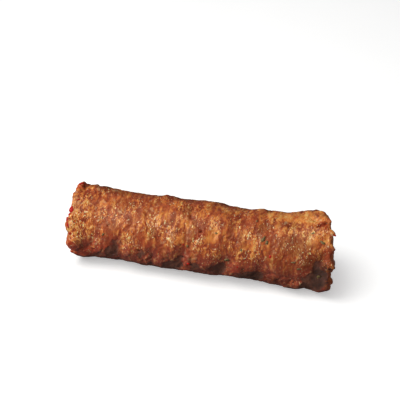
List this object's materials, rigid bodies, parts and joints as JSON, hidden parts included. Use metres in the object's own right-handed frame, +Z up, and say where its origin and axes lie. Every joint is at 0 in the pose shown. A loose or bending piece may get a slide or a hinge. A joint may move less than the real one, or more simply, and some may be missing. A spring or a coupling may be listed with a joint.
{
  "type": "minced meat stick",
  "caption": "Fried stick of pressed minced meat: a slightly bent, browned roll with shallow pleats and torn ends, lying on a flattened underside.",
  "frame": {"origin": "on the surface that the stick lies on, under the middle of its box", "axes": "+X along the stick towards its flared end, -Y the side seen in front, +Z up"},
  "size_m": [0.1352, 0.0386, 0.0391],
  "materials": {
    "crust": "browned, moist fried mince, semi-gloss",
    "herb_flecks": "dried green herb",
    "pepper_flecks": "moist red pepper"
  },
  "bodies": {
    "root": {"meat_stick": "crust"}
  },
  "joints": []
}
